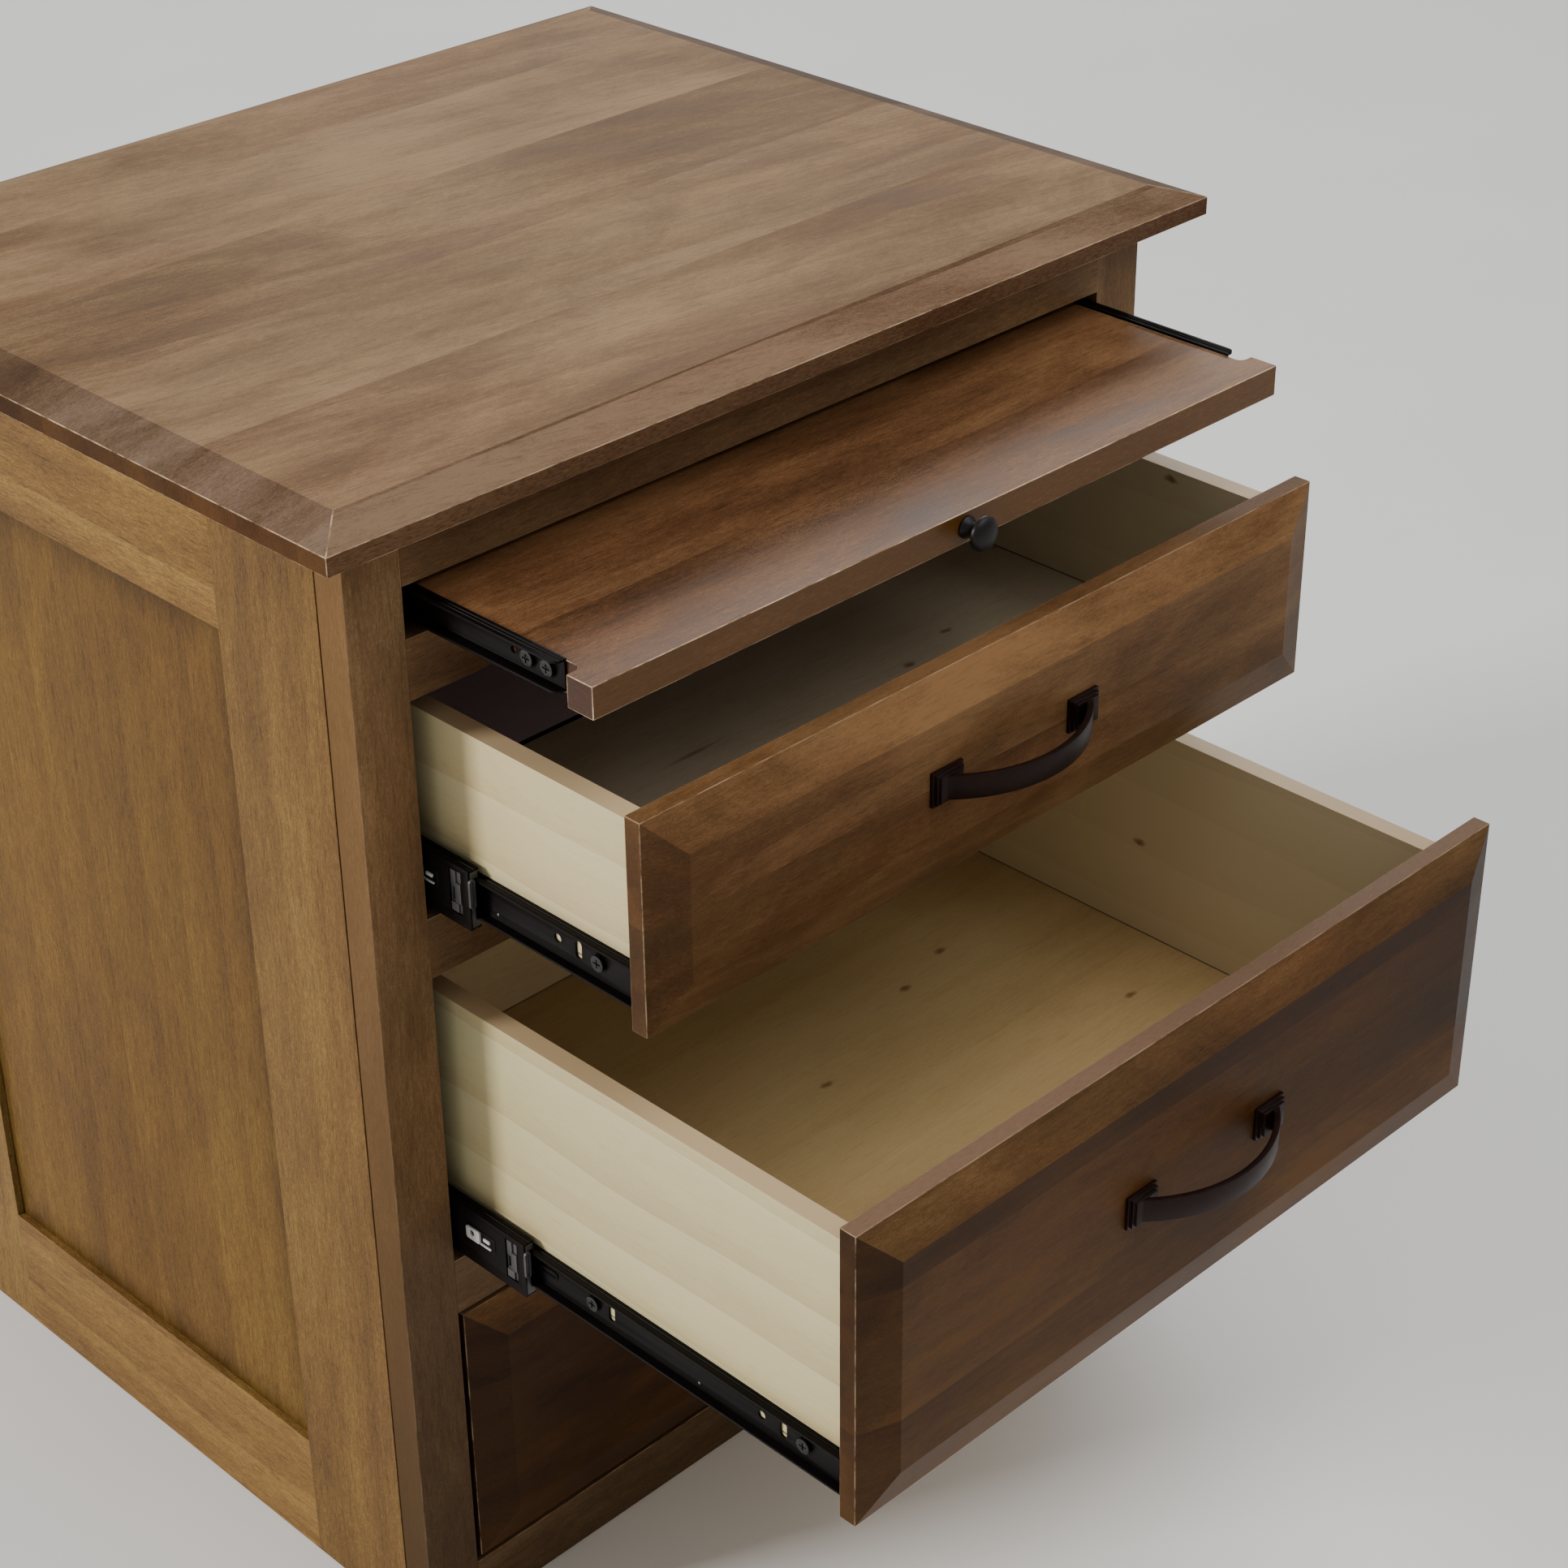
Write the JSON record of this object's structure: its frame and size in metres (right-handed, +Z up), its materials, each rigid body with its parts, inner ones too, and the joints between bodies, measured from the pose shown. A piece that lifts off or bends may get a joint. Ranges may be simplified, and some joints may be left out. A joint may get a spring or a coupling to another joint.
{
  "type": "drawer pedestal",
  "caption": "Wooden drawer pedestal with a bevelled top, a pull-out writing tray and inset bevelled drawers on ball-bearing slides, with strap pulls",
  "frame": {"origin": "the middle of the carcass footprint, on the floor", "axes": "+X across the front (to the viewer's right when facing the drawers), -Y out of the drawer fronts, +Z up"},
  "size_m": [0.582, 0.7595, 0.6615],
  "materials": {
    "stained_top": "warm brown stain, satin lacquer",
    "stained_front": "dark brown stain, satin lacquer",
    "stained_side": "tan brown stain, satin lacquer",
    "birch_ply": "clear lacquer",
    "dark_bronze": "dark bronze, satin",
    "stop_plastic": "moulded, matte",
    "zinc_steel": "zinc plated",
    "black_slide_steel": "black, slightly oily"
  },
  "bodies": {
    "carcass": {"top_board": "stained_top", "back_panel": "birch_ply", "bottom_board": "birch_ply", "slide_battens": "birch_ply", "face_stile_left": "stained_front", "face_stile_right": "stained_front", "face_rail_top": "stained_front", "face_rail_tray": "stained_front", "face_rail_middle": "stained_front", "face_rail_lower": "stained_front", "face_rail_base": "stained_front", "side_stiles_left": "stained_side", "side_rails_left": "stained_side", "side_panel_left": "stained_side", "side_stiles_right": "stained_side", "side_rails_right": "stained_side", "side_panel_right": "stained_side", "cabinet_slide_members": "black_slide_steel", "cabinet_slide_screws": "zinc_steel", "tray_fixed_members": "black_slide_steel"},
    "tray": {"tray_board": "stained_top", "tray_knob": "dark_bronze", "tray_knob_stud": "zinc_steel", "tray_slide_members": "black_slide_steel", "tray_slide_screws": "zinc_steel"},
    "tray_cages": {"tray_ball_cages": "zinc_steel"},
    "upper_drawer": {"upper_front": "stained_front", "upper_box_sides": "birch_ply", "upper_box_back": "birch_ply", "upper_box_bottom": "birch_ply", "upper_pull": "dark_bronze", "upper_screws": "zinc_steel", "upper_slide_members": "black_slide_steel"},
    "upper_middle": {"upper_middle_members": "black_slide_steel", "upper_slide_stops": "stop_plastic"},
    "upper_outer": {"upper_outer_cages": "zinc_steel"},
    "upper_inner": {"upper_inner_cages": "zinc_steel"},
    "centre_drawer": {"centre_front": "stained_front", "centre_box_sides": "birch_ply", "centre_box_back": "birch_ply", "centre_box_bottom": "birch_ply", "centre_pull": "dark_bronze", "centre_screws": "zinc_steel", "centre_slide_members": "black_slide_steel"},
    "centre_middle": {"centre_middle_members": "black_slide_steel", "centre_slide_stops": "stop_plastic"},
    "centre_outer": {"centre_outer_cages": "zinc_steel"},
    "centre_inner": {"centre_inner_cages": "zinc_steel"},
    "lower_drawer": {"lower_front": "stained_front", "lower_box_sides": "birch_ply", "lower_box_back": "birch_ply", "lower_box_bottom": "birch_ply", "lower_pull": "dark_bronze", "lower_screws": "zinc_steel", "lower_slide_members": "black_slide_steel"},
    "lower_middle": {"lower_middle_members": "black_slide_steel", "lower_slide_stops": "stop_plastic"},
    "lower_outer": {"lower_outer_cages": "zinc_steel"},
    "lower_inner": {"lower_inner_cages": "zinc_steel"}
  },
  "joints": [
    {"name": "tray_slide", "type": "slide", "parent": "carcass", "child": "tray", "axis": [0, -1, 0], "range_m": [-0.12, 0.105]},
    {"name": "tray_cage_roll", "type": "slide", "parent": "carcass", "child": "tray_cages", "axis": [0, -1, 0], "range_m": [-0.06, 0.0525]},
    {"name": "upper_drawer_slide", "type": "slide", "parent": "carcass", "child": "upper_drawer", "axis": [0, -1, 0], "range_m": [-0.146, 0.234]},
    {"name": "upper_middle_roll", "type": "slide", "parent": "carcass", "child": "upper_middle", "axis": [0, -1, 0], "range_m": [-0.073, 0.117]},
    {"name": "upper_outer_roll", "type": "slide", "parent": "carcass", "child": "upper_outer", "axis": [0, -1, 0], "range_m": [-0.0365, 0.0585]},
    {"name": "upper_inner_roll", "type": "slide", "parent": "carcass", "child": "upper_inner", "axis": [0, -1, 0], "range_m": [-0.1095, 0.1755]},
    {"name": "centre_drawer_slide", "type": "slide", "parent": "carcass", "child": "centre_drawer", "axis": [0, -1, 0], "range_m": [-0.272, 0.108]},
    {"name": "centre_middle_roll", "type": "slide", "parent": "carcass", "child": "centre_middle", "axis": [0, -1, 0], "range_m": [-0.136, 0.054]},
    {"name": "centre_outer_roll", "type": "slide", "parent": "carcass", "child": "centre_outer", "axis": [0, -1, 0], "range_m": [-0.068, 0.027]},
    {"name": "centre_inner_roll", "type": "slide", "parent": "carcass", "child": "centre_inner", "axis": [0, -1, 0], "range_m": [-0.204, 0.081]},
    {"name": "lower_drawer_slide", "type": "slide", "parent": "carcass", "child": "lower_drawer", "axis": [0, -1, 0], "range_m": [0, 0.38]},
    {"name": "lower_middle_roll", "type": "slide", "parent": "carcass", "child": "lower_middle", "axis": [0, -1, 0], "range_m": [0, 0.19]},
    {"name": "lower_outer_roll", "type": "slide", "parent": "carcass", "child": "lower_outer", "axis": [0, -1, 0], "range_m": [0, 0.095]},
    {"name": "lower_inner_roll", "type": "slide", "parent": "carcass", "child": "lower_inner", "axis": [0, -1, 0], "range_m": [0, 0.285]}
  ],
  "couplings": [
    {"joint": "tray_cage_roll", "follows": "tray_slide", "ratio": 0.5},
    {"joint": "upper_middle_roll", "follows": "upper_drawer_slide", "ratio": 0.5},
    {"joint": "upper_outer_roll", "follows": "upper_drawer_slide", "ratio": 0.25},
    {"joint": "upper_inner_roll", "follows": "upper_drawer_slide", "ratio": 0.75},
    {"joint": "centre_middle_roll", "follows": "centre_drawer_slide", "ratio": 0.5},
    {"joint": "centre_outer_roll", "follows": "centre_drawer_slide", "ratio": 0.25},
    {"joint": "centre_inner_roll", "follows": "centre_drawer_slide", "ratio": 0.75},
    {"joint": "lower_middle_roll", "follows": "lower_drawer_slide", "ratio": 0.5},
    {"joint": "lower_outer_roll", "follows": "lower_drawer_slide", "ratio": 0.25},
    {"joint": "lower_inner_roll", "follows": "lower_drawer_slide", "ratio": 0.75}
  ]
}
